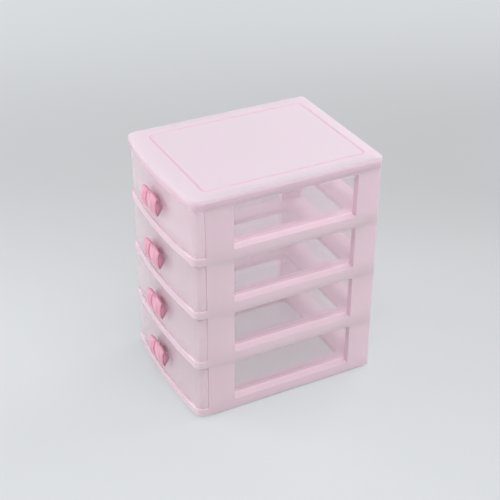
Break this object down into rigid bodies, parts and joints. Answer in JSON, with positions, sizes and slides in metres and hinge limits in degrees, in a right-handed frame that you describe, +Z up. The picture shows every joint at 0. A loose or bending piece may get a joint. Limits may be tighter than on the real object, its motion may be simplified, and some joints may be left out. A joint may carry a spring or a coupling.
{
  "type": "desktop jewellery organizer",
  "caption": "Desktop jewellery organizer: stacked windowed plastic frames under a cover, with clear bow-fronted drawers that slide out on ribbon-bow knobs.",
  "frame": {"origin": "under the middle of the whole object, on the table it stands on", "axes": "+Z up; the drawers open towards -Y; +X is on the right of someone who faces the drawers"},
  "size_m": [0.134, 0.1812, 0.212],
  "materials": {
    "pink_plastic": "satin moulded polypropylene, pale pink",
    "clear_plastic": "clear moulded polystyrene",
    "bow_plastic": "glossy rose-pink plastic",
    "screw_steel": "plated steel"
  },
  "bodies": {
    "cabinet": {"tier_frame_1": "pink_plastic", "tier_frame_2": "pink_plastic", "tier_frame_3": "pink_plastic", "tier_frame_4": "pink_plastic", "top_cover": "pink_plastic"},
    "drawer_1": {"drawer_tray_1": "clear_plastic", "bow_knob_1": "bow_plastic", "knob_screw_1": "screw_steel"},
    "drawer_2": {"drawer_tray_2": "clear_plastic", "bow_knob_2": "bow_plastic", "knob_screw_2": "screw_steel"},
    "drawer_3": {"drawer_tray_3": "clear_plastic", "bow_knob_3": "bow_plastic", "knob_screw_3": "screw_steel"},
    "drawer_4": {"drawer_tray_4": "clear_plastic", "bow_knob_4": "bow_plastic", "knob_screw_4": "screw_steel"}
  },
  "joints": [
    {"name": "drawer_1_slide", "type": "slide", "parent": "cabinet", "child": "drawer_1", "axis": [0, -1, 0], "range_m": [0, 0.12]},
    {"name": "drawer_2_slide", "type": "slide", "parent": "cabinet", "child": "drawer_2", "axis": [0, -1, 0], "range_m": [0, 0.12]},
    {"name": "drawer_3_slide", "type": "slide", "parent": "cabinet", "child": "drawer_3", "axis": [0, -1, 0], "range_m": [0, 0.12]},
    {"name": "drawer_4_slide", "type": "slide", "parent": "cabinet", "child": "drawer_4", "axis": [0, -1, 0], "range_m": [0, 0.12]}
  ]
}
